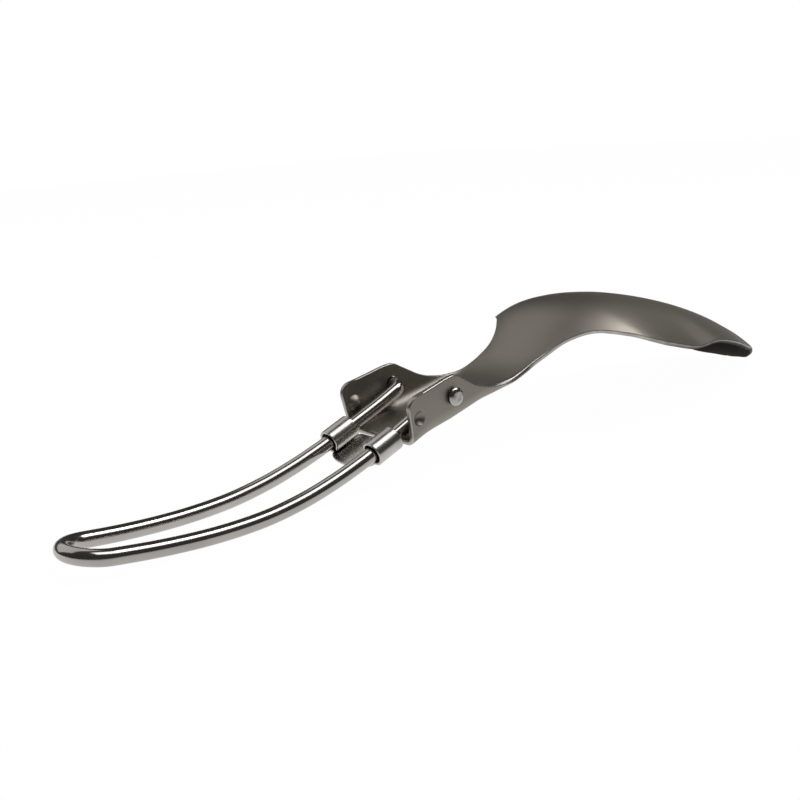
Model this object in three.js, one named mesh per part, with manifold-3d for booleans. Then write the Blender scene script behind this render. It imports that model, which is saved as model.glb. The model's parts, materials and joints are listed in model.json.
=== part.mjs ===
// A folding camp spoon: a stamped head with two ears, a bent wire handle and a sliding lock.
// Millimetres, +Z up. The spoon lies unfolded on its loop end and the tip of its bowl, back of
// the bowl up, with +X from the handle to the bowl.
// Each piece is drawn in the neck frame: origin on the pivot axis, +X along the neck floor
// toward the bowl, +Y toward the far ear, +Z square to the floor, on the side of the bowl's back.
import * as THREE from 'three';
import { mergeVertices } from 'three/addons/utils/BufferGeometryUtils.js';
import Module from 'manifold-3d';

const wasm = await Module();
wasm.setup();

const degrees = THREE.MathUtils.degToRad;

// Head: sheet, floor and ears
const sheetThickness = 0.9;
const floorWidth = 13.66;
const pivotAboveFloor = 3.85;
const foldRadius = 2.25;
const earLeanAngle = degrees(5.7);
const earToeAngle = degrees(4.3);
const earHeight = 7.55;
const earBack = 10.5;
const earFade = 20;
const earCornerRadius = 2;
const pivotClearance = 0.2;
// Head: dimples that the legs snap past
const dimpleRadius = 1.4;
const dimpleMouthRadius = 1.3;
const dimpleRise = 0.8;
const dimpleFromEdge = 2.05;
const dimpleAboveFloor = 3.55;
// Head: neck and bowl, from the pivot axis
const bowlReach = 90.134;
const bowlHalfWidth = 19.4;
const bowlWidest = 46;
const bowlDrop = 25.25;
const bowlDepth = 8.5;
const neckHalfWidth = 6.26;
// Handle
const wireDiameter = 2.5;
const legSpacing = 11.44;
const legDrop = 5.01;
const handleReach = 61.6;
const hingeBendRadius = 1.7;
const stubProud = 1.2;
const rivetRadius = 1.57;
const rivetHeight = 0.85;
const rivetFaceRadius = 1.13;
const rivetCrown = 0.45;
// Lock slider, with its own angle below the neck and its depth under the pivot
const sliderWall = 0.45;
const sliderBoreClearance = 0.4;
const sliderDropAngle = degrees(10.2);
const sliderSink = 0.6;
const sleeveSpacing = 11.32;
const sliderFromFloorEnd = 1.18;
const sliderLength = 5.05;
const tongueReach = 2;
const tongueHalfWidth = 5.2;
const webLead = 0.74;
const webLeadHalfWidth = 4.6;
const seamAngle = degrees(225);
// Rest
const levellingPasses = 6;
// Overrun of the cutting tools
const overrun = 2;
// Distance over which neighbouring points count as one, and step for probing a surface
const weldDistance = 0.002;
const probeStep = 0.05;
const loopProbe = 1;

// Counts and shares that set how finely the solids are cut
const bendSteps = 6;
const legSteps = 22;
const crownSteps = 3;
const wireSegments = 8;
const ballSegments = 18;
const sliderSegments = 22;
const earStationShares = [
  0, 0.07, 0.15, 0.23, 0.3, 0.34, 0.37, 0.4, 0.43, 0.47, 0.51, 0.56, 0.61, 0.67, 0.73, 0.79, 0.86, 0.93,
];
const bowlStationShares = [
  0, 0.03, 0.06, 0.09, 0.12, 0.15, 0.18, 0.21, 0.24, 0.27, 0.305, 0.345, 0.39, 0.44, 0.5, 0.56, 0.62, 0.68, 0.735,
  0.785, 0.83, 0.87, 0.903, 0.932, 0.956, 0.974, 0.987, 0.995, 0.9985, 0.9997,
];
const probeShare = 0.01;
const floorLineShares = [0, 0.3, 0.6, 0.85, 1];
const sideLineShares = [0.14, 0.28, 0.42, 0.56, 0.7, 0.85, 1];
const foldLineShare = 0.7;
const spreadStart = 8;
const bowlLineShares = [0, 0.11, 0.22, 0.33, 0.44, 0.54, 0.63, 0.72, 0.8, 0.87, 0.94, 1];

// Height of the ear's top above the floor, along the ear
const earProfileShares = [
  [0, 0.966], [0.066, 0.967], [0.197, 0.985], [0.328, 1], [0.384, 0.955], [0.43, 0.8], [0.475, 0.64],
  [0.53, 0.45], [0.59, 0.305], [0.66, 0.2], [0.75, 0.12], [0.87, 0.05], [1, 0],
];
// Radius of the fold between floor and ear, along the ear
const foldRadiusShares = [
  [0, 0.4], [0.15, 1.044], [0.35, 1.022], [0.55, 0.883], [0.75, 1.007], [1, 2.61],
];
// Half width of neck and bowl between the fade of the ears and the widest place
const shoulderShares = [
  [0, 0], [0.2, 0.013], [0.31, 0.025], [0.415, 0.071], [0.521, 0.191], [0.628, 0.437], [0.681, 0.617],
  [0.734, 0.778], [0.787, 0.901], [0.84, 0.969], [0.92, 1.009], [1, 1],
];
// Height of the ridge over the floor, from the pivot to the tip
const ridgeShares = [
  [0, 0], [0.0854, 0.016], [0.1334, 0.016], [0.1793, 0.022], [0.2241, 0.056], [0.269, 0.129],
  [0.3138, 0.217], [0.3575, 0.284], [0.4024, 0.314], [0.4472, 0.298], [0.492, 0.261], [0.5593, 0.182],
  [0.6489, 0.0442], [0.7386, -0.1201], [0.8282, -0.3141], [0.9179, -0.5429], [0.9556, -0.6781],
  [0.9845, -0.8463], [1, -0.907],
];
// Drop of the rim under the ridge, from the pivot to the tip
const sagShares = [
  [0, 0], [0.1601, 0], [0.2241, -0.022], [0.269, 0.093], [0.3138, 0.201], [0.3575, 0.339], [0.4024, 0.605],
  [0.4472, 0.827], [0.492, 0.978], [0.5817, 1.0888], [0.6713, 0.8669], [0.761, 0.7712], [0.8506, 0.6786],
  [0.8955, 0.5473], [0.9403, 0.4857], [0.9645, 0.3369], [0.9878, 0.0588], [1, 0],
];
// Distance of a leg from the middle, from the pivot to the loop, as shares of half the spacing
const legSpreadShares = [
  [0, 0.905], [0.0974, 0.926], [0.1786, 0.9561], [0.2597, 0.9804], [0.3409, 0.993], [0.4383, 0.9979],
  [0.5519, 0.9995], [0.6818, 0.9792], [0.8279, 0.9231], [1, 0.8327],
];
// Depth of a leg under the pivot, from the pivot to the end of the loop
const legDropShares = [
  [0, 0], [0.0649, 0.2044], [0.1299, 0.38], [0.1948, 0.54], [0.2597, 0.692], [0.3247, 0.8206],
  [0.4058, 0.9373], [0.5032, 0.9998], [0.6169, 0.9431], [0.7468, 0.6978], [0.8766, 0.3156], [1, -0.1427],
  [1.0795, -0.486],
];
const tipExponent = 2.037;
const crownExponent = 2.23;
const foldAngle = Math.PI / 2 - earLeanAngle;

// A smooth height over places in rising order, through every point given
function curveThrough(points) {
  const slopes = points.map((_, i) => {
    const before = points[Math.max(i - 1, 0)];
    const after = points[Math.min(i + 1, points.length - 1)];
    return (after[1] - before[1]) / (after[0] - before[0]);
  });
  return (place) => {
    const last = points.length - 2;
    let i = 0;
    while (i < last && place > points[i + 1][0]) i += 1;
    const span = points[i + 1][0] - points[i][0];
    const t = THREE.MathUtils.clamp((place - points[i][0]) / span, 0, 1);
    const rise = points[i + 1][1] - points[i][1];
    const bend = slopes[i] * span - rise;
    const lift = rise - slopes[i + 1] * span;
    return points[i][1] + rise * t + t * (1 - t) * (bend * (1 - t) + lift * t);
  };
}

const earProfile = curveThrough(earProfileShares);
const foldGrowth = curveThrough(foldRadiusShares);
const shoulder = curveThrough(shoulderShares);
const ridge = curveThrough(ridgeShares);
const sag = curveThrough(sagShares);

const earShare = (x) => (x + earBack) / (earBack + earFade);
const wallHeight = (x) => (x < earFade ? earHeight * earProfile(earShare(x)) : 0);
const ridgeHeight = (x) => bowlDrop * ridge(x / bowlReach) - pivotAboveFloor;
const rimSag = (x) => bowlDepth * sag(x / bowlReach);

// Half width at floor level: the channel narrows toward the neck, the bowl closes to its tip
const neckStart = (floorWidth / 2 - neckHalfWidth) / Math.tan(earToeAngle);
function halfWidth(x) {
  if (x < neckStart) return floorWidth / 2 - x * Math.tan(earToeAngle);
  if (x < bowlWidest) {
    const share = shoulder((x - neckStart) / (bowlWidest - neckStart));
    return neckHalfWidth + share * (bowlHalfWidth - neckHalfWidth);
  }
  const toTip = Math.min((x - bowlWidest) / (bowlReach - bowlWidest), 1);
  return bowlHalfWidth * (1 - toTip ** tipExponent) ** (1 / tipExponent);
}

// Cross-section of the sheet's upper face: a flat floor, a fold that widens toward the bowl, an ear
function section(x) {
  const height = wallHeight(x);
  const radius = foldRadius * foldGrowth(earShare(x));
  const foldHeight = radius * (1 - Math.cos(foldAngle));
  const turned = height < foldHeight ? Math.acos(1 - height / radius) : foldAngle;
  const straight = Math.max(height - foldHeight, 0) / Math.sin(foldAngle);
  const edge = halfWidth(x) + height / Math.tan(foldAngle);
  const flat = edge - radius * Math.sin(turned) - straight * Math.cos(foldAngle);
  return { flat, radius, turned, bent: radius * turned, arc: flat + radius * turned + straight };
}

// Places of the lines across one half: on the floor, the fold and the ear, then even over the bowl
function linesAcross(station) {
  const spread = THREE.MathUtils.smoothstep(station, spreadStart, earFade);
  if (spread === 1) return bowlLineShares;
  const { flat, bent, arc } = section(station);
  const floorShare = flat / arc;
  const foldShare = bent / (arc - flat);
  const foldLines = THREE.MathUtils.lerp(foldLineShare, 1, foldShare ** 3);
  const side = sideLineShares.map((share) => {
    if (share <= foldLines) return (foldShare * share) / foldLines;
    return foldShare + ((1 - foldShare) * (share - foldLines)) / (1 - foldLines);
  });
  const channel = [
    ...floorLineShares.map((share) => share * floorShare),
    ...side.map((share) => floorShare + (1 - floorShare) * share),
  ];
  return channel.map((share, i) => THREE.MathUtils.lerp(share, bowlLineShares[i], spread));
}

// Point of the upper face: x along the neck, across from -1 at the near edge to 1 at the far edge
function sheetPoint(x, across) {
  const { flat, radius, turned, bent, arc } = section(x);
  const along = Math.abs(across) * arc;
  const angle = THREE.MathUtils.clamp((along - flat) / radius, 0, turned);
  const beyond = Math.max(along - flat - bent, 0);
  const y = Math.min(along, flat) + radius * Math.sin(angle) + beyond * Math.cos(turned);
  const lift = radius * (1 - Math.cos(angle)) + beyond * Math.sin(turned);
  const drop = rimSag(x) * Math.abs(across) ** crownExponent;
  return new THREE.Vector3(x, Math.sign(across) * y, ridgeHeight(x) + lift - drop);
}

// The same point on the lower face, square through the sheet
function underPoint(x, across) {
  const here = sheetPoint(x, across);
  const left = Math.max(across - probeShare, -1);
  const right = Math.min(across + probeShare, 1);
  const sideways = sheetPoint(x, right).sub(sheetPoint(x, left));
  const forward = sheetPoint(x + probeStep, across).sub(sheetPoint(x - probeStep, across));
  const normal = forward.cross(sideways).normalize();
  return here.addScaledVector(normal, -sheetThickness);
}

// Turns a closed mesh into a solid, and a solid back into a mesh's geometry
function toSolid(geometry) {
  geometry.deleteAttribute('normal');
  geometry.deleteAttribute('uv');
  const merged = mergeVertices(geometry, weldDistance);
  const vertProperties = Float32Array.from(merged.attributes.position.array);
  const triVerts = Uint32Array.from(merged.index.array);
  return new wasm.Manifold(new wasm.Mesh({ numProp: 3, vertProperties, triVerts }));
}

function toGeometry(solid) {
  const { vertProperties, triVerts } = solid.getMesh();
  const geometry = new THREE.BufferGeometry();
  geometry.setAttribute('position', new THREE.BufferAttribute(vertProperties, 3));
  geometry.setIndex(new THREE.BufferAttribute(triVerts, 1));
  geometry.computeVertexNormals();
  return geometry;
}

// Formed sheet from the ears' edge to the tip of the bowl, closed round its edges
function sheetGeometry() {
  const stations = [
    ...earStationShares.map((share) => THREE.MathUtils.lerp(-earBack, earFade, share)),
    ...bowlStationShares.map((share) => THREE.MathUtils.lerp(earFade, bowlReach, share)),
  ];
  const positions = [];
  const ring = 4 * (bowlLineShares.length - 1) + 2;
  stations.forEach((station) => {
    const half = linesAcross(station);
    const lines = [...half.slice(1).reverse().map((share) => -share), ...half];
    lines.forEach((across) => positions.push(...sheetPoint(station, across)));
    lines.reverse().forEach((across) => positions.push(...underPoint(station, across)));
  });
  const index = [];
  for (let i = 0; i < stations.length - 1; i += 1) {
    for (let j = 0; j < ring; j += 1) {
      const a = i * ring + j;
      const b = i * ring + ((j + 1) % ring);
      index.push(a, a + ring, b, b, a + ring, b + ring);
    }
  }
  const far = (stations.length - 1) * ring;
  for (let j = 0; j < ring / 2 - 1; j += 1) {
    const other = ring - 1 - j;
    index.push(j, j + 1, other, j + 1, other - 1, other);
    index.push(far + j, far + other, far + j + 1, far + j + 1, far + other, far + other - 1);
  }
  const geometry = new THREE.BufferGeometry();
  geometry.setAttribute('position', new THREE.Float32BufferAttribute(positions, 3));
  geometry.setIndex(index);
  return geometry;
}

// A round-nosed tool along the outward normal of an ear, its nose inward by the dimple's rise
function dimpleTool(side, inset, radius, tail) {
  const noseRadius = (radius ** 2 + dimpleRise ** 2) / (2 * dimpleRise);
  const noseAngle = Math.asin(radius / noseRadius);
  const profile = [];
  for (let i = 0; i <= bendSteps; i += 1) {
    const turn = noseAngle * (i / bendSteps);
    const along = noseRadius * (1 - Math.cos(turn)) - dimpleRise;
    profile.push(new THREE.Vector2(noseRadius * Math.sin(turn), along));
  }
  profile.push(new THREE.Vector2(radius, tail), new THREE.Vector2(0, tail));
  const tool = new THREE.LatheGeometry(profile, ballSegments);
  const outward = new THREE.Vector3(Math.sin(earToeAngle), Math.cos(earToeAngle), -Math.sin(earLeanAngle));
  outward.y *= side;
  outward.normalize();
  tool.applyQuaternion(new THREE.Quaternion().setFromUnitVectors(new THREE.Vector3(0, 1, 0), outward));
  const x = dimpleFromEdge - earBack;
  const faceY = halfWidth(x) + dimpleAboveFloor / Math.tan(foldAngle);
  const place = new THREE.Vector3(x, side * faceY, dimpleAboveFloor - pivotAboveFloor);
  place.addScaledVector(outward, inset);
  tool.translate(place.x, place.y, place.z);
  return toSolid(tool);
}

// Waste outside the rounded upper corner of both ears at the handle's end
function earCornerTool() {
  const top = earHeight * earProfileShares[1][1] - pivotAboveFloor;
  const waste = new THREE.Shape();
  waste.moveTo(-earBack, top - earCornerRadius);
  waste.absarc(earCornerRadius - earBack, top - earCornerRadius, earCornerRadius, Math.PI, Math.PI / 2, true);
  waste.lineTo(earCornerRadius - earBack, top + overrun);
  waste.lineTo(-earBack - overrun, top + overrun);
  waste.lineTo(-earBack - overrun, top - earCornerRadius);
  waste.closePath();
  const tool = new THREE.ExtrudeGeometry(waste, {
    depth: 2 * floorWidth, curveSegments: bendSteps, bevelEnabled: false,
  });
  tool.rotateX(Math.PI / 2);
  tool.translate(0, floorWidth, 0);
  return toSolid(tool);
}

function spoonHead() {
  let head = toSolid(sheetGeometry()).subtract(earCornerTool());
  [-1, 1].forEach((side) => {
    head = head.add(dimpleTool(side, 0, dimpleRadius, sheetThickness / 2));
    head = head.subtract(dimpleTool(side, sheetThickness, dimpleMouthRadius, overrun));
  });
  const boreRadius = wireDiameter / 2 + pivotClearance;
  const bore = new THREE.CylinderGeometry(boreRadius, boreRadius, 2 * floorWidth, ballSegments);
  return toGeometry(head.subtract(toSolid(bore)));
}

// A curve whose rings sit on its own points
class PointwiseCurve extends THREE.CatmullRomCurve3 {
  getUtoTmapping(share) {
    return share;
  }
}

// Height and distance from the middle of a leg, at a distance behind the pivot
const spreadCurve = curveThrough(legSpreadShares);
const dropCurve = curveThrough(legDropShares);
const legHeight = (back) => -legDrop * dropCurve(back / handleReach);
const legOffset = (back) => (legSpacing / 2) * spreadCurve(back / handleReach);

// Half of the handle's centre line, from the end of the far stub to the middle of the loop
function halfRoute() {
  const points = [];
  const fall = Math.atan2(-legHeight(hingeBendRadius), hingeBendRadius);
  const along = new THREE.Vector3(-Math.cos(fall), 0, -Math.sin(fall));
  const splay = Math.atan2(legOffset(2 * hingeBendRadius) - legOffset(hingeBendRadius), hingeBendRadius);
  const bendEnd = hingeBendRadius * (1 + Math.sin(splay)) * Math.cos(fall);
  const bendY = legOffset(bendEnd) + hingeBendRadius * Math.cos(splay);
  points.push(new THREE.Vector3(0, stubEnd(), 0));
  points.push(new THREE.Vector3(0, (stubEnd() + bendY) / 2, 0));
  for (let i = 0; i <= bendSteps; i += 1) {
    const turn = (Math.PI / 2 + splay) * (i / bendSteps);
    const point = along.clone().multiplyScalar(hingeBendRadius * (1 - Math.cos(turn)));
    points.push(point.setY(bendY - hingeBendRadius * Math.sin(turn)));
  }
  for (let i = 1; i <= legSteps; i += 1) {
    const back = THREE.MathUtils.lerp(bendEnd, handleReach, i / legSteps);
    points.push(new THREE.Vector3(-back, legOffset(back), legHeight(back)));
  }
  const closing = Math.atan2(legOffset(handleReach - loopProbe) - legOffset(handleReach), loopProbe);
  const loopRadius = legOffset(handleReach) / Math.cos(closing);
  const loopMiddle = handleReach - loopRadius * Math.sin(closing);
  for (let i = 1; i <= bendSteps; i += 1) {
    const turn = THREE.MathUtils.lerp(closing, Math.PI / 2, i / bendSteps);
    const back = loopMiddle + loopRadius * Math.sin(turn);
    points.push(new THREE.Vector3(-back, loopRadius * Math.cos(turn), legHeight(back)));
  }
  return points;
}

// Outer face of the ear at the pivot, and the face of the stub beyond it
function stubEnd() {
  const innerFace = floorWidth / 2 + pivotAboveFloor / Math.tan(foldAngle);
  return innerFace + sheetThickness + stubProud;
}

function wireHandle() {
  const half = halfRoute();
  const mirrored = half.slice(0, -1).reverse().map((point) => point.clone().setY(-point.y));
  const route = new PointwiseCurve([...half, ...mirrored]);
  const wireSection = new THREE.Shape().absarc(0, 0, wireDiameter / 2, 0, 2 * Math.PI, false);
  const wire = new THREE.ExtrudeGeometry(wireSection, {
    extrudePath: route, steps: route.points.length - 1, curveSegments: wireSegments, bevelEnabled: false,
  });
  let handle = toSolid(wire);
  [-1, 1].forEach((side) => {
    const profile = [new THREE.Vector2(0, -rivetHeight), new THREE.Vector2(rivetRadius, -rivetHeight)];
    for (let i = 0; i <= crownSteps; i += 1) {
      const turn = (Math.PI / 2) * (i / crownSteps);
      const radius = rivetFaceRadius + (rivetRadius - rivetFaceRadius) * Math.cos(turn);
      profile.push(new THREE.Vector2(radius, rivetCrown * (Math.sin(turn) - 1)));
    }
    profile.push(new THREE.Vector2(0, 0));
    const rivet = new THREE.LatheGeometry(profile, ballSegments);
    if (side < 0) rivet.rotateX(Math.PI);
    rivet.translate(0, side * stubEnd(), 0);
    handle = handle.add(toSolid(rivet));
  });
  return toGeometry(handle);
}

// Cross-section of the lock: a low web that rolls up and inward round each leg
function sliderSection() {
  const legY = sleeveSpacing / 2;
  const bore = wireDiameter / 2 + sliderBoreClearance;
  const outer = bore + sliderWall;
  const down = -Math.PI / 2;
  const nearSeam = Math.PI - seamAngle;
  const shape = new THREE.Shape();
  shape.moveTo(0, -outer);
  shape.lineTo(legY, -outer);
  shape.absarc(legY, 0, outer, down, seamAngle, false);
  shape.absarc(legY, 0, bore, seamAngle, down, true);
  shape.lineTo(-legY, -bore);
  shape.absarc(-legY, 0, bore, -down + Math.PI, nearSeam, true);
  shape.absarc(-legY, 0, outer, nearSeam, -down + Math.PI, false);
  shape.closePath();
  return shape;
}

function lockSlider() {
  const bore = wireDiameter / 2 + sliderBoreClearance;
  const outer = bore + sliderWall;
  const start = sliderStart();
  const sleeves = new THREE.ExtrudeGeometry(sliderSection(), {
    depth: sliderLength, curveSegments: sliderSegments, bevelEnabled: false,
  });
  sleeves.rotateX(Math.PI / 2);
  sleeves.rotateZ(Math.PI / 2);
  sleeves.translate(-start - sliderLength, 0, -sliderSink);
  const outline = new THREE.Shape();
  outline.moveTo(sheetThickness, -tongueHalfWidth);
  outline.lineTo(sheetThickness, tongueHalfWidth);
  outline.lineTo(0, tongueHalfWidth);
  outline.absellipse(0, 0, tongueReach, tongueHalfWidth, Math.PI / 2, 3 * Math.PI / 2, false);
  outline.closePath();
  const tongue = new THREE.ExtrudeGeometry(outline, {
    depth: sliderWall, curveSegments: sliderSegments, bevelEnabled: false,
  });
  tongue.translate(-start - sliderLength, 0, -outer - sliderSink);
  // Between the sleeves the web reaches forward, almost to the floor's end
  const lead = new THREE.BoxGeometry(webLead + sliderWall, 2 * webLeadHalfWidth, sliderWall);
  lead.translate((webLead - sliderWall) / 2 - start, 0, sliderWall / 2 - outer - sliderSink);
  return toGeometry(toSolid(sleeves).add(toSolid(tongue)).add(toSolid(lead)));
}

// Distance along the lock's slide line from the pivot to its end face, clear of the floor's end
function sliderStart() {
  const depth = wireDiameter / 2 + sliderBoreClearance + sliderWall + sliderSink;
  return (earBack + sliderFromFloorEnd + depth * Math.sin(sliderDropAngle)) / Math.cos(sliderDropAngle);
}

function piece(name, geometry, colour, roughness) {
  const material = new THREE.MeshStandardMaterial({ color: colour, roughness, metalness: 1 });
  const mesh = new THREE.Mesh(geometry, material);
  mesh.name = name;
  return mesh;
}

const head = piece('spoon_head', spoonHead(), 0x78756e, 0.55);
const handle = piece('wire_handle', wireHandle(), 0x9a9894, 0.22);
const lock = piece('lock_slider', lockSlider(), 0x8e8c88, 0.3);
lock.rotation.y = -sliderDropAngle;

// The neck tilts about the pivot until the legs and the tip of the bowl touch the ground together
const spoon = new THREE.Group();
spoon.add(head, handle, lock);
const bounds = (object) => new THREE.Box3().setFromObject(object, true);
for (let pass = 0; pass < levellingPasses; pass += 1) {
  spoon.updateMatrixWorld(true);
  const lift = bounds(head).min.z - bounds(handle).min.z;
  spoon.rotation.y += lift / (bowlReach + handleReach);
}
spoon.updateMatrixWorld(true);
const middle = bounds(spoon).getCenter(new THREE.Vector3());
spoon.position.set(-middle.x, -middle.y, -bounds(spoon).min.z);

export default spoon;
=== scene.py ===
"""Looks of a folding camp spoon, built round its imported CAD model. Metres, in the CAD model's frame."""

import json
import math

import bmesh
import bpy
import numpy as np
from mathutils import Matrix, Vector


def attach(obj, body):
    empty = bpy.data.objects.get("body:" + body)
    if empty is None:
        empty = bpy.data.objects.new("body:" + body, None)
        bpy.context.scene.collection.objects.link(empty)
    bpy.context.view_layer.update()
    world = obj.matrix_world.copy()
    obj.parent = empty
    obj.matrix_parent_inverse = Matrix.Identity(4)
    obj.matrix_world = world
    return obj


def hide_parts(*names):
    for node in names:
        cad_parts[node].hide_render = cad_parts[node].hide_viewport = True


MM = 0.001

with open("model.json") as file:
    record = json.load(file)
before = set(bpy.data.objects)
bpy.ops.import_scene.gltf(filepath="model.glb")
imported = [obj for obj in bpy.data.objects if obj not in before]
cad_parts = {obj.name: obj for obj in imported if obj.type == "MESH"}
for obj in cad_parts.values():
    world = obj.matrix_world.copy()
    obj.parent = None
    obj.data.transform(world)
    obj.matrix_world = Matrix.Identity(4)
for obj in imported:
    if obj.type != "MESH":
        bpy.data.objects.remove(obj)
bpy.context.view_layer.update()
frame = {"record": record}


# Sizes, in millimetres and radians
SHEET = 0.9
FLOOR_WIDTH = 13.66
PIVOT_ABOVE_FLOOR = 3.85
FOLD_RADIUS = 2.25
EAR_LEAN = math.radians(5.7)
EAR_TOE = math.radians(4.3)
EAR_HEIGHT = 7.55
EAR_BACK = 10.5
EAR_FADE = 20
EAR_CORNER = 2.0
EAR_CORNER_BLEND = 4.0
PIVOT_CLEARANCE = 0.2
DIMPLE_RADIUS = 1.4
DIMPLE_MOUTH = 1.3
DIMPLE_RISE = 0.8
DIMPLE_FROM_EDGE = 2.05
DIMPLE_ABOVE_FLOOR = 3.55
BOWL_REACH = 90.134
BOWL_HALF = 19.4
BOWL_WIDEST = 46
BOWL_DROP = 25.25
BOWL_DEPTH = 8.5
NECK_HALF = 6.26
WIRE = 2.5
LEG_SPACING = 11.44
LEG_DROP = 5.01
HANDLE_REACH = 61.6
HINGE_BEND = 1.7
STUB_PROUD = 1.2
RIVET_RADIUS = 1.57
RIVET_HEIGHT = 0.85
LOCK_WALL = 0.45
LOCK_CLEARANCE = 0.4
LOCK_DROP = math.radians(10.2)
LOCK_SINK = 0.6
SLEEVE_SPACING = 11.32
LOCK_FROM_FLOOR = 1.18
LOCK_LENGTH = 5.05
TONGUE_REACH = 2.0
TONGUE_HALF = 5.2
WEB_LEAD = 0.74
WEB_LEAD_HALF = 4.6
SEAM = math.radians(225)
TIP_EXPONENT = 2.037
CROWN_EXPONENT = 2.23
FOLD_ANGLE = math.pi / 2 - EAR_LEAN

EAR_PROFILE = [
    (0, 0.966), (0.066, 0.967), (0.197, 0.985), (0.328, 1), (0.384, 0.955), (0.43, 0.8), (0.475, 0.64),
    (0.53, 0.45), (0.59, 0.305), (0.66, 0.2), (0.75, 0.12), (0.87, 0.05), (1, 0),
]
FOLD_GROWTH = [
    (0, 0.4), (0.15, 1.044), (0.35, 1.022), (0.55, 0.883), (0.75, 1.007), (1, 2.61),
]
SHOULDER = [
    (0, 0), (0.2, 0.013), (0.31, 0.025), (0.415, 0.071), (0.521, 0.191), (0.628, 0.437), (0.681, 0.617),
    (0.734, 0.778), (0.787, 0.901), (0.84, 0.969), (0.92, 1.009), (1, 1),
]
RIDGE = [
    (0, 0), (0.0854, 0.016), (0.1334, 0.016), (0.1793, 0.022), (0.2241, 0.056), (0.269, 0.129),
    (0.3138, 0.217), (0.3575, 0.284), (0.4024, 0.314), (0.4472, 0.298), (0.492, 0.261), (0.5593, 0.182),
    (0.6489, 0.0442), (0.7386, -0.1201), (0.8282, -0.3141), (0.9179, -0.5429), (0.9556, -0.6781),
    (0.9845, -0.8463), (1, -0.907),
]
SAG = [
    (0, 0), (0.1601, 0), (0.2241, -0.022), (0.269, 0.093), (0.3138, 0.201), (0.3575, 0.339),
    (0.4024, 0.605), (0.4472, 0.827), (0.492, 0.978), (0.5817, 1.0888), (0.6713, 0.8669), (0.761, 0.7712),
    (0.8506, 0.6786), (0.8955, 0.5473), (0.9403, 0.4857), (0.9645, 0.3369), (0.9878, 0.0588), (1, 0),
]
SPREAD = [
    (0, 0.905), (0.0974, 0.926), (0.1786, 0.9561), (0.2597, 0.9804), (0.3409, 0.993), (0.4383, 0.9979),
    (0.5519, 0.9995), (0.6818, 0.9792), (0.8279, 0.9231), (1, 0.8327),
]
DROP = [
    (0, 0), (0.0649, 0.2044), (0.1299, 0.38), (0.1948, 0.54), (0.2597, 0.692), (0.3247, 0.8206),
    (0.4058, 0.9373), (0.5032, 0.9998), (0.6169, 0.9431), (0.7468, 0.6978), (0.8766, 0.3156), (1, -0.1427),
    (1.0795, -0.486),
]


def curve_through(points):
    """A smooth height over places in rising order, through every point."""
    xs, ys = (np.array(v, float) for v in zip(*points))
    last = len(xs) - 1
    before, after = np.maximum(np.arange(last + 1) - 1, 0), np.minimum(np.arange(last + 1) + 1, last)
    slopes = (ys[after] - ys[before]) / (xs[after] - xs[before])

    def height(place):
        place = np.asarray(place, float)
        i = np.clip(np.searchsorted(xs, place, side="left") - 1, 0, last - 1)
        span = xs[i + 1] - xs[i]
        t = np.clip((place - xs[i]) / span, 0, 1)
        rise = ys[i + 1] - ys[i]
        bend = slopes[i] * span - rise
        lift = rise - slopes[i + 1] * span
        return ys[i] + rise * t + t * (1 - t) * (bend * (1 - t) + lift * t)

    return height


def smoothstep(x, low, high):
    t = np.clip((np.asarray(x, float) - low) / (high - low), 0, 1)
    return t * t * (3 - 2 * t)


ear_profile = curve_through(EAR_PROFILE)
fold_growth = curve_through(FOLD_GROWTH)
shoulder = curve_through(SHOULDER)
ridge = curve_through(RIDGE)
sag = curve_through(SAG)
spread = curve_through(SPREAD)
drop = curve_through(DROP)
NECK_START = (FLOOR_WIDTH / 2 - NECK_HALF) / math.tan(EAR_TOE)


def half_width(x):
    channel = FLOOR_WIDTH / 2 - x * math.tan(EAR_TOE)
    neck = NECK_HALF + shoulder((x - NECK_START) / (BOWL_WIDEST - NECK_START)) * (BOWL_HALF - NECK_HALF)
    to_tip = np.clip((x - BOWL_WIDEST) / (BOWL_REACH - BOWL_WIDEST), 0, 1)
    bowl = BOWL_HALF * (1 - to_tip ** TIP_EXPONENT) ** (1 / TIP_EXPONENT)
    return np.where(x < NECK_START, channel, np.where(x < BOWL_WIDEST, neck, bowl))


def section(x):
    """Flat half of the floor, fold radius, turned angle, arc of the fold and length of the half section."""
    place = (x + EAR_BACK) / (EAR_BACK + EAR_FADE)
    height = np.maximum(np.where(x < EAR_FADE, EAR_HEIGHT * ear_profile(place), 0), 0)
    radius = FOLD_RADIUS * fold_growth(place)
    fold_height = radius * (1 - math.cos(FOLD_ANGLE))
    turned = np.where(height < fold_height, np.arccos(np.clip(1 - height / radius, -1, 1)), FOLD_ANGLE)
    straight = np.maximum(height - fold_height, 0) / math.sin(FOLD_ANGLE)
    edge = half_width(x) + height / math.tan(FOLD_ANGLE)
    flat = edge - radius * np.sin(turned) - straight * math.cos(FOLD_ANGLE)
    return flat, radius, turned, radius * turned, flat + radius * turned + straight


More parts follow.
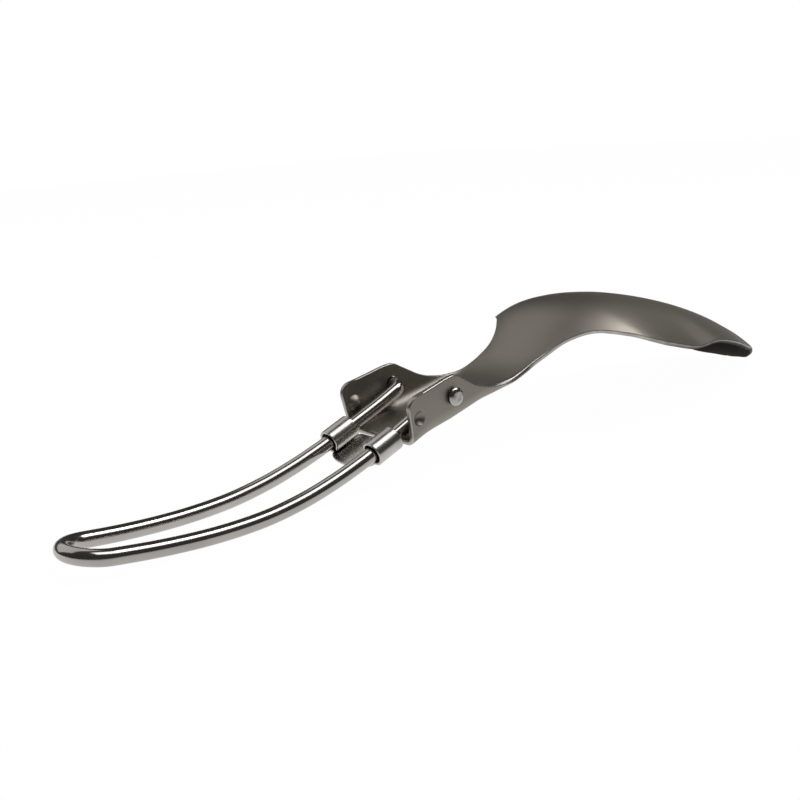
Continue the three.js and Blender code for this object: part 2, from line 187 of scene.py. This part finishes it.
def sheet_point(station, across):
    """Point of the sheet's upper face: station along the neck, across from -1 at the near edge to 1."""
    station, across = np.broadcast_arrays(np.asarray(station, float), np.asarray(across, float))
    from_top = (1 - np.abs(across)) * section(station)[4]
    in_corner = np.clip(EAR_CORNER - from_top, 0, EAR_CORNER)
    cut = EAR_CORNER - np.sqrt(EAR_CORNER ** 2 - in_corner ** 2)
    x = station + cut * np.clip(1 - (station + EAR_BACK) / EAR_CORNER_BLEND, 0, 1)
    flat, radius, turned, bent, arc = section(x)
    along = np.abs(across) * arc
    angle = np.clip((along - flat) / radius, 0, turned)
    beyond = np.maximum(along - flat - bent, 0)
    y = np.minimum(along, flat) + radius * np.sin(angle) + beyond * np.cos(turned)
    lift = radius * (1 - np.cos(angle)) + beyond * np.sin(turned)
    fall = BOWL_DEPTH * sag(x / BOWL_REACH) * np.abs(across) ** CROWN_EXPONENT
    z = BOWL_DROP * ridge(x / BOWL_REACH) - PIVOT_ABOVE_FLOOR + lift - fall
    return np.stack([x, np.sign(across) * y, z], axis=-1)


# Steps, as a share across the half section and in millimetres along the neck, that give the sheet's normal
ACROSS_STEP = 0.004
ALONG_STEP = 0.03


def sheet_normal(station, across):
    """Unit normal of the upper face."""
    left, right = np.maximum(across - ACROSS_STEP, -1), np.minimum(across + ACROSS_STEP, 1)
    sideways = sheet_point(station, right) - sheet_point(station, left)
    forward = sheet_point(station + ALONG_STEP, across) - sheet_point(station - ALONG_STEP, across)
    normal = np.cross(forward, sideways)
    return normal / np.linalg.norm(normal, axis=-1, keepdims=True)


# Placing in the CAD frame


def rest_frame():
    """The neck frame's place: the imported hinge's point, and the tilt that sets the lock's slide line."""
    joints = {j["name"]: j for j in frame["record"]["behaviour"]["joints"]}
    pivot = Vector(joints["handle_fold"]["pos_m"])
    slide = joints["lock_slide"]["axis"]
    tilt = math.atan2(-slide[2], -slide[0]) - LOCK_DROP
    return Matrix.Translation(pivot) @ Matrix.Rotation(-tilt, 4, "Y")


NECK_TO_WORLD = rest_frame()


# Faces that meet at more than this angle keep a sharp edge, on the sheets and on the wire
SHARP_ANGLE = math.radians(40)
WIRE_SHARP_ANGLE = math.radians(50)


def add_mesh(name, points, faces, metals=(), marks=None, sharp=SHARP_ANGLE):
    """A mesh object from points in the neck frame, in millimetres. Marks give each face its metal's place."""
    mesh = bpy.data.meshes.new(name)
    mesh.from_pydata([tuple(p) for p in np.asarray(points) * MM], [], faces)
    mesh.transform(NECK_TO_WORLD)
    for metal_name in metals:
        mesh.materials.append(metal(metal_name))
    if marks:
        mesh.polygons.foreach_set("material_index", marks)
    mesh.validate()
    bm = bmesh.new()
    bm.from_mesh(mesh)
    bmesh.ops.recalc_face_normals(bm, faces=bm.faces)
    bm.to_mesh(mesh)
    bm.free()
    mesh.shade_smooth()
    mesh.set_sharp_from_angle(angle=sharp)
    piece = bpy.data.objects.new(name, mesh)
    bpy.context.scene.collection.objects.link(piece)
    return piece


def edge_distance(points):
    """Distance of each grid point from the nearest edge of the grid, along its rows and its columns."""
    out = []
    for axis in (0, 1):
        step = np.linalg.norm(np.diff(points, axis=axis), axis=-1)
        run = np.cumsum(np.insert(step, 0, 0, axis=axis), axis=axis)
        total = np.take(run, [-1], axis=axis)
        out.append(np.minimum(run, total - run))
    return out


# Share of the rounding's depth beyond which a point belongs to the cut edge, whose lighter metal is partly
# the edge's polished wear and partly a painted highlight along the edges
WEAR_AND_SHEEN_SHARE = 1 / 12


def closed_sheet(top, normal, thickness, rounding, dent=None):
    """Points, faces and cut-edge marks of a sheet with rounded edges, from a grid on its upper face."""
    along, across = edge_distance(top)
    inside = np.hypot(np.maximum(rounding - along, 0), np.maximum(rounding - across, 0))
    inset = rounding - np.sqrt(np.maximum(rounding ** 2 - np.minimum(inside, rounding) ** 2, 0))
    upper = top - normal * inset[..., None]
    under = top - normal * (thickness - inset)[..., None]
    if dent is not None:
        upper, under = dent(upper, DIMPLE_RADIUS), dent(under, DIMPLE_MOUTH)
    rows, columns = top.shape[:2]
    count = rows * columns
    index = np.arange(count).reshape(rows, columns)
    faces = []
    for i in range(rows - 1):
        for j in range(columns - 1):
            corners = (index[i, j], index[i + 1, j], index[i + 1, j + 1], index[i, j + 1])
            a, b, c, d = (int(v) for v in corners)
            faces.append((a, b, c, d))
            faces.append((a + count, d + count, c + count, b + count))
    # Faces on the rounded edge take the lighter edge metal: polished wear together with a painted highlight
    # along the edges
    wear_and_sheen_points = (inset > rounding * WEAR_AND_SHEEN_SHARE).ravel()
    marks = [int(any(wear_and_sheen_points[corner % count] for corner in face)) for face in faces]
    rim = [int(v) for v in (
        *index[0, :], *index[1:, -1], *index[-1, -2::-1], *index[-2:0:-1, 0])]
    for a, b in zip(rim, rim[1:] + rim[:1]):
        faces.append((a, b, b + count, a + count))
        marks.append(1)
    return np.concatenate([upper.reshape(-1, 3), under.reshape(-1, 3)]), faces, marks


# Head
HEAD_ROUNDING = 0.24
EDGE_STEPS = np.array([0, 0.03, 0.08, 0.15, 0.24])
TIP_START = 80
TIP_END = BOWL_REACH - 0.03
TIP_ROWS = 40
TIP_CLOSING = 2.4
# Stations from behind the ears' edge to the start of the tip: first, end and step of each stretch
HEAD_ROWS = (
    (-EAR_BACK + 0.4, -6.5, 0.11), (-6.5, -2, 0.35), (-2, EAR_FADE, 0.3), (EAR_FADE, TIP_START, 0.75),
)
FLOOR_LINES = 16
SIDE_LINES = 68
# Share of the side's lines that lie in the fold at least, and how fast it grows with the fold
FOLD_LEAST = 0.34
FOLD_GAIN = 3
# Station where the channel's lines begin to spread evenly over the bowl
MERGE_START = 8
LAST_EAR_STATION = EAR_FADE - 0.01
LEAST_SHARE = 1e-6
BORE_SIDES = 64


def head_stations():
    rows = [np.arange(*row) for row in HEAD_ROWS]
    t = np.linspace(0, 1, TIP_ROWS)
    tip = TIP_START + (TIP_END - TIP_START) * (1 - (1 - t) ** TIP_CLOSING)
    return np.concatenate([-EAR_BACK + EDGE_STEPS, *rows, tip])


def head_lines(station):
    """Places of the lines across one half of the sheet at a station."""
    flat, _, _, bent, arc = (float(v) for v in section(np.array(min(station, LAST_EAR_STATION))))
    inner = 1 - EDGE_STEPS[::-1] / float(section(np.array(station))[-1])
    floor_share, fold_share = flat / arc, bent / (arc - flat)
    fold_lines = FOLD_LEAST + (1 - FOLD_LEAST) * fold_share ** FOLD_GAIN
    side = np.linspace(0, 1, SIDE_LINES)[1:]
    beyond = (side - fold_lines) / max(1 - fold_lines, LEAST_SHARE)
    in_ear = fold_share + (1 - fold_share) * beyond
    side = np.where(side <= fold_lines, fold_share * side / fold_lines, in_ear)
    floor_lines = np.linspace(0, floor_share, FLOOR_LINES)
    channel = np.concatenate([floor_lines, floor_share + (1 - floor_share) * side])
    even = np.linspace(0, 1, len(channel))
    merged = float(smoothstep(station, MERGE_START, EAR_FADE))
    lines = (channel * (1 - merged) + even * merged)[:-1]
    if lines[-1] > inner[0]:
        lines = lines * inner[0] / lines[-1]
    return np.concatenate([lines, inner[1:]])


def ear_dent(points, radius):
    """Pushes the points round each dimple toward the middle of the channel."""
    out = points.copy()
    x = DIMPLE_FROM_EDGE - EAR_BACK
    face = float(half_width(np.array(x))) + DIMPLE_ABOVE_FLOOR / math.tan(FOLD_ANGLE)
    for side in (-1, 1):
        outward = np.array([math.sin(EAR_TOE), side * math.cos(EAR_TOE), -math.sin(EAR_LEAN)])
        outward /= np.linalg.norm(outward)
        arm = points - np.array([x, side * face, DIMPLE_ABOVE_FLOOR - PIVOT_ABOVE_FLOOR])
        arm -= (arm @ outward)[..., None] * outward
        q = np.linalg.norm(arm, axis=-1) / radius
        bump = DIMPLE_RISE * np.clip(1 - q ** 2, 0, 1)
        near = (np.sign(points[..., 1]) == side) & (q < 1)
        out -= np.where(near, bump, 0)[..., None] * outward
    return out


def build_head():
    stations = head_stations()
    across = np.stack([np.concatenate([-half[:0:-1], half]) for half in map(head_lines, stations)])
    grid = np.repeat(stations[:, None], across.shape[1], axis=1)
    top = sheet_point(grid, across)
    points, faces, marks = closed_sheet(top, sheet_normal(grid, across), SHEET, HEAD_ROUNDING, ear_dent)
    return add_mesh("blasted_head", points, faces, ("blasted_titanium", "edge_wear_and_sheen"), marks)


def cut_bore(piece):
    """Drills the pivot holes through both ears."""
    radius = WIRE / 2 + PIVOT_CLEARANCE
    turns = np.linspace(0, 2 * math.pi, BORE_SIDES, endpoint=False)
    ring = [(radius * math.cos(turn), radius * math.sin(turn)) for turn in turns]
    points = [(x, y, z) for y in (-FLOOR_WIDTH, FLOOR_WIDTH) for x, z in ring]
    faces = [tuple(range(BORE_SIDES)), tuple(range(2 * BORE_SIDES - 1, BORE_SIDES - 1, -1))]
    for i in range(BORE_SIDES):
        following = (i + 1) % BORE_SIDES
        faces.append((i, following, BORE_SIDES + following, BORE_SIDES + i))
    tool = add_mesh("bore_tool", points, faces)
    cut = piece.modifiers.new("bore", "BOOLEAN")
    cut.operation, cut.solver, cut.object = "DIFFERENCE", "EXACT", tool
    graph = bpy.context.evaluated_depsgraph_get()
    mesh = bpy.data.meshes.new_from_object(piece.evaluated_get(graph))
    piece.modifiers.clear()
    piece.data = mesh
    mesh.set_sharp_from_angle(angle=SHARP_ANGLE)
    bpy.data.objects.remove(tool)


# Handle
STUB_END = FLOOR_WIDTH / 2 + PIVOT_ABOVE_FLOOR / math.tan(FOLD_ANGLE) + SHEET + STUB_PROUD
MIRROR = np.array([1, -1, 1])
STUB_RINGS = 6
BEND_RINGS = 14
LEG_RINGS = 96
LOOP_RINGS = 22
WIRE_SIDES = 48
# Length over which the legs' closing angle at the loop is measured
CLOSING_RUN = 1
# Marks that the hammer leaves on the stubs' ends: depth, fade behind the face, reach and fade from the middle
HAMMER_DEPTH = 0.045
HAMMER_BEHIND = 0.2
HAMMER_REACH = 1.1
HAMMER_FADE = 0.3
# Radians per millimetre and start of the marks' waves, along and up the face
HAMMER_ALONG = (3.4, 1.0)
HAMMER_UP = (2.9, 0.4)
# Depth and radius of the peened ends, from the middle of the face to the wire behind the crown
PEENED_END = [
    (0.0, 0.3), (0.005, 0.6), (0.02, 0.85), (0.055, 1.0), (0.11, 1.11), (0.18, 1.22), (0.27, 1.35),
    (0.37, 1.46), (0.48, 1.54), (0.6, RIVET_RADIUS), (0.71, 1.54), (0.79, 1.45), (0.84, 1.34),
    (RIVET_HEIGHT, WIRE / 2),
]


def leg_height(back):
    return -LEG_DROP * drop(np.asarray(back) / HANDLE_REACH)


def leg_offset(back):
    return LEG_SPACING / 2 * spread(np.asarray(back) / HANDLE_REACH)


def half_route():
    """Half of the wire's centre line, from inside the far stub to the middle of the loop."""
    fall = math.atan2(-float(leg_height(HINGE_BEND)), HINGE_BEND)
    splay = math.atan2(float(leg_offset(2 * HINGE_BEND) - leg_offset(HINGE_BEND)), HINGE_BEND)
    bend_end = HINGE_BEND * (1 + math.sin(splay)) * math.cos(fall)
    bend = float(leg_offset(bend_end)) + HINGE_BEND * math.cos(splay)
    out = [(0, y, 0) for y in np.linspace(STUB_END - RIVET_HEIGHT, bend, STUB_RINGS)[:-1]]
    for turn in np.linspace(0, math.pi / 2 + splay, BEND_RINGS):
        reach = HINGE_BEND * (1 - math.cos(turn))
        out.append((-reach * math.cos(fall), bend - HINGE_BEND * math.sin(turn), -reach * math.sin(fall)))
    backs = np.linspace(bend_end, HANDLE_REACH, LEG_RINGS)[1:]
    out += list(zip(-backs, leg_offset(backs), leg_height(backs)))
    narrowing = float(leg_offset(HANDLE_REACH - CLOSING_RUN) - leg_offset(HANDLE_REACH))
    closing = math.atan2(narrowing, CLOSING_RUN)
    radius = float(leg_offset(HANDLE_REACH)) / math.cos(closing)
    middle = HANDLE_REACH - radius * math.sin(closing)
    for turn in np.linspace(closing, math.pi / 2, LOOP_RINGS)[1:]:
        back = middle + radius * math.sin(turn)
        out.append((-back, radius * math.cos(turn), float(leg_height(back))))
    return np.array(out)


def tube(route, radii, sides):
    """Rings round a route, with a frame carried along it, capped at both ends."""
    tangent = np.gradient(route, axis=0)
    tangent /= np.linalg.norm(tangent, axis=1, keepdims=True)
    up = np.array([0.0, 0.0, 1.0])
    rings = []
    for point, direction, radius in zip(route, tangent, radii):
        up = up - direction * (up @ direction)
        up /= np.linalg.norm(up)
        side = np.cross(direction, up)
        turn = np.linspace(0, 2 * math.pi, sides, endpoint=False)
        rings.append(point + radius * (np.cos(turn)[:, None] * up + np.sin(turn)[:, None] * side))
    faces = []
    for i in range(len(route) - 1):
        for j in range(sides):
            k = (j + 1) % sides
            faces.append((i * sides + j, i * sides + k, (i + 1) * sides + k, (i + 1) * sides + j))
    last = (len(route) - 1) * sides
    faces.append(tuple(range(sides - 1, -1, -1)))
    faces.append(tuple(range(last, last + sides)))
    return np.concatenate(rings), faces


def wave(places, rate_and_start):
    rate, start = rate_and_start
    return rate * places + start


def build_handle():
    half = half_route()
    depth, sizes = np.array(PEENED_END).T
    ends = np.stack([0 * depth, STUB_END - depth, 0 * depth], axis=-1)
    middle = np.concatenate([half[1:], half[-2:0:-1] * MIRROR])
    route = np.concatenate([ends, middle, ends[::-1] * MIRROR])
    radii = np.concatenate([sizes, np.full(len(middle), WIRE / 2), sizes[::-1]])
    points, faces = tube(route, radii, WIRE_SIDES)
    x, y, z = points.T
    behind_face = np.clip((np.abs(y) - STUB_END + HAMMER_BEHIND) / HAMMER_BEHIND, 0, 1)
    near_middle = np.clip((HAMMER_REACH - np.hypot(x, z)) / HAMMER_FADE, 0, 1)
    dent = HAMMER_DEPTH * (1 + np.sin(wave(x, HAMMER_ALONG)) * np.cos(wave(z, HAMMER_UP)))
    points[:, 1] -= np.sign(y) * behind_face * near_middle * dent
    return add_mesh("wire_loop", points, faces, ("polished_wire",), sharp=WIRE_SHARP_ANGLE)


# Lock
LOCK_ROUNDING = 0.14
LOCK_EDGE_STEPS = np.array([0, 0.02, 0.05, 0.09, 0.14])
# Free run between the seam's edge lines and the line before them, and place of the first row inside the edges
LOCK_SEAM_RUN = 0.15
LOCK_FIRST_ROW = 0.24
LOCK_ROWS = 18
WEB_LINES = 26
SLEEVE_LINES = 64
# Share of the lock's length, at each end, that stretches into the tongue or the web's lead
STRETCHED = 0.45
LEAD_EXPONENT = 10


def build_lock():
    """One formed sheet: a low web that rolls up and inward round each leg, with a tongue and a lead."""
    leg = SLEEVE_SPACING / 2
    outer = WIRE / 2 + LOCK_CLEARANCE + LOCK_WALL
    start = (EAR_BACK + LOCK_FROM_FLOOR + (outer + LOCK_SINK) * math.sin(LOCK_DROP)) / math.cos(LOCK_DROP)
    arc = np.linspace(0, SEAM + math.pi / 2, SLEEVE_LINES)[1:] * outer
    arc = np.concatenate([arc[arc < arc[-1] - LOCK_SEAM_RUN], arc[-1] - LOCK_EDGE_STEPS[::-1]])
    half = np.concatenate([np.linspace(0, leg, WEB_LINES), leg + arc])
    lines = np.concatenate([-half[:0:-1], half])
    rows = np.linspace(LOCK_FIRST_ROW, LOCK_LENGTH - LOCK_FIRST_ROW, LOCK_ROWS)
    along = np.concatenate([LOCK_EDGE_STEPS, rows, LOCK_LENGTH - LOCK_EDGE_STEPS[::-1]])
    side = np.sign(lines)
    run = np.abs(lines)
    turn = np.maximum(run - leg, 0) / outer
    y = np.where(run < leg, run, leg + outer * np.sin(turn))
    z = np.where(run < leg, -outer, -outer * np.cos(turn)) - LOCK_SINK
    reach = TONGUE_REACH * np.sqrt(1 - np.clip(run / TONGUE_HALF, 0, 1) ** 2)
    lead = WEB_LEAD * (1 - np.clip(run / WEB_LEAD_HALF, 0, 1) ** LEAD_EXPONENT) ** (1 / LEAD_EXPONENT)
    # The web's rows stretch into the tongue toward the loop, and into the lead toward the floor
    share = along / LOCK_LENGTH
    pull = np.clip((share - 1 + STRETCHED) / STRETCHED, 0, 1)
    push = np.clip((STRETCHED - share) / STRETCHED, 0, 1)
    back = start + along[:, None] + reach * pull[:, None] - lead * push[:, None]
    zeros = np.zeros_like(back)
    top = np.stack([-back, zeros + side * y, zeros + z], axis=-1)
    normal = np.stack([zeros, zeros + side * np.sin(turn), zeros - np.cos(turn)], axis=-1)
    points, faces, _ = closed_sheet(top, normal, LOCK_WALL, LOCK_ROUNDING)
    turned = np.array(Matrix.Rotation(-LOCK_DROP, 3, "Y"))
    return add_mesh("rolled_lock", points @ turned.T, faces, ("satin_lock",))


# Materials
EVEN = (1, 1, 1)
# Each metal has a cloud between two tones, and a grain that shifts the roughness and stands in relief. The
# numbers are the cloud's scale and detail, the place and colour of each tone, the grain's scale per axis, its
# scale, detail and contrast, the lowest and highest roughness, and the relief's depth in metres and strength.
METALS = {
    "blasted_titanium": {
        "cloud": (60, 3), "tones": ((0.3, (0.252, 0.229, 0.2)), (0.7, (0.287, 0.262, 0.23))),
        "stretch": EVEN, "grain": (3600, 3, 0.6), "roughness": (0.40, 0.52), "relief": (0.00003, 0.6),
    },
    # The edge's lighter, smoother metal is partly polished wear and partly a painted highlight along the
    # sheet's edges
    "edge_wear_and_sheen": {
        "cloud": (420, 4), "tones": ((0.35, (0.33, 0.31, 0.285)), (0.65, (0.47, 0.45, 0.42))),
        "stretch": EVEN, "grain": (420, 4, 0.55), "roughness": (0.26, 0.42), "relief": (0.00003, 0.6),
    },
    "polished_wire": {
        "cloud": (120, 3), "tones": ((0.3, (0.40, 0.385, 0.36)), (0.7, (0.46, 0.445, 0.42))),
        "stretch": (0.08, 1, 1), "grain": (1100, 2, 0.5), "roughness": (0.14, 0.18),
        "relief": (0.000003, 0.12),
    },
    "satin_lock": {
        "cloud": (240, 3), "tones": ((0.3, (0.44, 0.425, 0.40)), (0.7, (0.53, 0.515, 0.49))),
        "stretch": (0.2, 1, 1), "grain": (1600, 2, 0.5), "roughness": (0.2, 0.3),
        "relief": (0.000003, 0.25),
    },
}
CLOUD_CONTRAST = 0.55
WHITE = (1, 1, 1)


def add_node(tree, kind, inputs, **settings):
    """A new node. Each of its inputs is another node's output or a plain value."""
    node = tree.nodes.new(kind)
    for name, value in settings.items():
        setattr(node, name, value)
    for place, value in inputs.items():
        if isinstance(value, bpy.types.NodeSocket):
            tree.links.new(value, node.inputs[place])
        else:
            node.inputs[place].default_value = value
    return node


def noise(tree, stretch, scale, detail, contrast):
    """Noise over object coordinates, stretched by a scale per axis."""
    place = add_node(tree, "ShaderNodeTexCoord", {}).outputs["Object"]
    vector = add_node(tree, "ShaderNodeMapping", {"Vector": place, "Scale": stretch}).outputs["Vector"]
    inputs = {"Vector": vector, "Scale": scale, "Detail": detail, "Roughness": contrast}
    return add_node(tree, "ShaderNodeTexNoise", inputs).outputs["Fac"]


def ramp(tree, value, stops):
    node = add_node(tree, "ShaderNodeValToRGB", {"Fac": value})
    for element, (place, colour) in zip(node.color_ramp.elements, stops):
        element.position = place
        element.color = (*colour, 1)
    return node.outputs["Color"]


def fitted(tree, value, source, target, shape="LINEAR"):
    """A value mapped from one range to another and held at its ends."""
    ends = {"From Min": source[0], "From Max": source[1], "To Min": target[0], "To Max": target[1]}
    node = add_node(tree, "ShaderNodeMapRange", {"Value": value, **ends}, interpolation_type=shape)
    return node.outputs["Result"]


def metal(name):
    finish = METALS[name]
    material = bpy.data.materials.new(name)
    material.use_nodes = True
    tree = material.node_tree
    shader = tree.nodes["Principled BSDF"]
    cloud = noise(tree, EVEN, *finish["cloud"], CLOUD_CONTRAST)
    grain = noise(tree, finish["stretch"], *finish["grain"])
    depth, strength = finish["relief"]
    relief = add_node(tree, "ShaderNodeBump", {"Height": grain, "Distance": depth, "Strength": strength})
    tree.links.new(ramp(tree, cloud, finish["tones"]), shader.inputs["Base Color"])
    tree.links.new(fitted(tree, grain, (0, 1), finish["roughness"]), shader.inputs["Roughness"])
    tree.links.new(relief.outputs["Normal"], shader.inputs["Normal"])
    shader.inputs["Metallic"].default_value = 1.0
    return material


# Stage
# Direction that the sweep stands in, and how high it reaches from its near edge to its middle
SWEEP_SIDE = (0.648, 0.761, 0.0)
SWEEP_EDGE = (-0.25, 0.4)
SWEEP_TOP = (-1.2, 0.03)
SWEEP_BLEND = (-0.03, 0.03)
ROOM_COLOUR = (0.05, 0.048, 0.045)
PLAIN_LIGHT = 0.42
FLOOR_SEGMENTS = 8
FLOOR_COLOUR = (0.9, 0.9, 0.9)
FLOOR_BOX = (-0.7, 1.2, -0.35, 1.4)
FLOOR_GLOW = 0.985
# The floor's white in reflections, falling toward the near side, toward the far side and under the bowl
NEAR_SIDE = (-0.25, -0.97, 0.0)
NEAR_REACH = (-0.01, 0.09)
NEAR_STRENGTH = (1.0, 0.36)
FAR_REACH = (-0.05, -0.2)
FAR_STRENGTH = (0.95, 0.26)
SHADE_PLACE = (0.06, 0.0, 0.0)
SHADE_REACH = (0.014, 0.042)
SHADE_STRENGTH = (0.03, 0.95)
# Soft boxes: name, place, direction of the length, length and width, and power
LAMPS = (
    ("long_box", (0.175, -0.19, 0.565), (0.84, 0, -0.45), (0.62, 0.31), 1.65),
    ("bowl_box", (0.3, -0.13, 0.47), (0.5, 0, -0.6), (0.2, 0.2), 0.6),
    ("rear_box", (-0.17, 0.5, 0.5), (1, 0, 0), (0.9, 0.7), 1.4),
)
# The photograph's camera: azimuth, elevation and roll in degrees, place in millimetres, and focal length and
# shift in pixels of the picture
CAMERA_ANGLES = (-40.3435, 14.1731, -4.1841)
CAMERA_PLACE = (-132.654, -137.278, 57.145)
CAMERA_FOCUS = 1097.254
CAMERA_SHIFT = (-8.619, -3.287)
PICTURE_WIDTH = 800
SENSOR_WIDTH = 36
CLIP_START = 0.01


def maths(tree, operation, first, second):
    return add_node(tree, "ShaderNodeMath", {0: first, 1: second}, operation=operation).outputs[0]


def vector_maths(tree, operation, first, second):
    node = add_node(tree, "ShaderNodeVectorMath", {0: first, 1: second}, operation=operation)
    return node.outputs["Value"]


def mixed(tree, share, first, second):
    return add_node(tree, "ShaderNodeMixShader", {0: share, 1: first, 2: second}).outputs[0]


def glowing(tree, kind, colour, strength):
    return add_node(tree, kind, {"Color": (*colour, 1), "Strength": strength}).outputs[0]


def cleared_tree(holder):
    holder.use_nodes = True
    holder.node_tree.nodes.clear()
    return holder.node_tree


def floor_white(tree):
    """The floor's white in reflections: the least of the three fades."""
    place = add_node(tree, "ShaderNodeTexCoord", {}).outputs["Object"]
    nearness = vector_maths(tree, "DOT_PRODUCT", place, NEAR_SIDE)
    from_shade = vector_maths(tree, "DISTANCE", place, SHADE_PLACE)
    near = fitted(tree, nearness, NEAR_REACH, NEAR_STRENGTH, "SMOOTHSTEP")
    far = fitted(tree, nearness, FAR_REACH, FAR_STRENGTH, "SMOOTHSTEP")
    shade = fitted(tree, from_shade, SHADE_REACH, SHADE_STRENGTH, "SMOOTHSTEP")
    return maths(tree, "MINIMUM", maths(tree, "MINIMUM", near, far), shade)


def build_floor():
    """A pale floor, white to the camera. In reflections its white fades toward the near side."""
    mesh = bpy.data.meshes.new("floor")
    bm = bmesh.new()
    bmesh.ops.create_grid(bm, x_segments=FLOOR_SEGMENTS, y_segments=FLOOR_SEGMENTS, size=1)
    low_x, high_x, low_y, high_y = FLOOR_BOX
    for vertex in bm.verts:
        vertex.co.x = low_x + (high_x - low_x) * (vertex.co.x + 1) / 2
        vertex.co.y = low_y + (high_y - low_y) * (vertex.co.y + 1) / 2
    bm.to_mesh(mesh)
    bm.free()
    floor = bpy.data.objects.new("floor", mesh)
    bpy.context.scene.collection.objects.link(floor)
    material = bpy.data.materials.new("pale_floor")
    tree = cleared_tree(material)
    path = add_node(tree, "ShaderNodeLightPath", {}).outputs
    level = maths(tree, "MAXIMUM", path["Is Camera Ray"], floor_white(tree))
    shown = maths(tree, "MAXIMUM", path["Is Camera Ray"], path["Is Glossy Ray"])
    shown = maths(tree, "MAXIMUM", shown, path["Is Transmission Ray"])
    share = maths(tree, "MULTIPLY", shown, FLOOR_GLOW)
    plain = add_node(tree, "ShaderNodeBsdfDiffuse", {"Color": (*FLOOR_COLOUR, 1)}).outputs[0]
    surface = mixed(tree, share, plain, glowing(tree, "ShaderNodeEmission", WHITE, level))
    add_node(tree, "ShaderNodeOutputMaterial", {"Surface": surface})
    mesh.materials.append(material)


def build_world():
    """White to the camera. In reflections a white sweep stands behind the spoon, and the room is dim."""
    world = bpy.data.worlds.new("studio")
    bpy.context.scene.world = world
    tree = cleared_tree(world)
    kind = "ShaderNodeBackground"
    facing = add_node(tree, "ShaderNodeTexCoord", {}).outputs["Generated"]
    height = add_node(tree, "ShaderNodeSeparateXYZ", {0: facing}).outputs["Z"]
    behind = vector_maths(tree, "DOT_PRODUCT", facing, SWEEP_SIDE)
    over = maths(tree, "SUBTRACT", height, fitted(tree, behind, SWEEP_EDGE, SWEEP_TOP))
    dim = fitted(tree, over, SWEEP_BLEND, (0, 1), "SMOOTHSTEP")
    sweep = mixed(tree, dim, glowing(tree, kind, WHITE, 1), glowing(tree, kind, ROOM_COLOUR, 1))
    path = add_node(tree, "ShaderNodeLightPath", {}).outputs
    lit = mixed(tree, path["Is Glossy Ray"], glowing(tree, kind, WHITE, PLAIN_LIGHT), sweep)
    shown = maths(tree, "MAXIMUM", path["Is Camera Ray"], path["Is Transmission Ray"])
    surface = mixed(tree, shown, lit, glowing(tree, kind, WHITE, 1))
    add_node(tree, "ShaderNodeOutputWorld", {"Surface": surface})


def add_area(name, place, long_way, size, power):
    """A soft box that faces the spoon, with its length along a given direction."""
    light = bpy.data.lights.new(name, "AREA")
    light.shape = "RECTANGLE"
    light.size, light.size_y = size
    light.energy = power
    lamp = bpy.data.objects.new(name, light)
    facing = Vector(place).normalized()
    across = facing.cross(Vector(long_way)).normalized()
    axes = Matrix((across.cross(facing), across, facing)).transposed().to_4x4()
    axes.translation = Vector(place)
    lamp.matrix_world = axes
    bpy.context.scene.collection.objects.link(lamp)


def add_camera():
    azimuth, elevation, roll = (math.radians(v) for v in CAMERA_ANGLES)
    level_back = math.cos(elevation)
    back = Vector((math.sin(azimuth) * level_back, -math.cos(azimuth) * level_back, math.sin(elevation)))
    level = Vector((math.cos(azimuth), math.sin(azimuth), 0))
    upright = back.cross(level)
    right = level * math.cos(roll) + upright * math.sin(roll)
    up = upright * math.cos(roll) - level * math.sin(roll)
    data = bpy.data.cameras.new("camera")
    data.sensor_width = SENSOR_WIDTH
    data.lens = CAMERA_FOCUS / PICTURE_WIDTH * SENSOR_WIDTH
    data.shift_x, data.shift_y = (shift / PICTURE_WIDTH for shift in CAMERA_SHIFT)
    data.clip_start = CLIP_START
    camera = bpy.data.objects.new("camera", data)
    matrix = Matrix((right, up, back)).transposed().to_4x4()
    matrix.translation = Vector(CAMERA_PLACE) * MM
    camera.matrix_world = matrix
    bpy.context.scene.collection.objects.link(camera)
    bpy.context.scene.camera = camera


# The scene
head = build_head()
cut_bore(head)
handle = build_handle()
lock = build_lock()
for piece, body, node, slot in (
        (head, "head", "spoon_head", "sandblasted_titanium"),
        (handle, "handle", "wire_handle", "polished_wire"),
        (lock, "lock", "lock_slider", "brushed_lock")):
    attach(piece, body)
    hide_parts(node)

build_floor()
build_world()
for lamp in LAMPS:
    add_area(*lamp)
add_camera()
bpy.context.scene.view_settings.view_transform = "Standard"
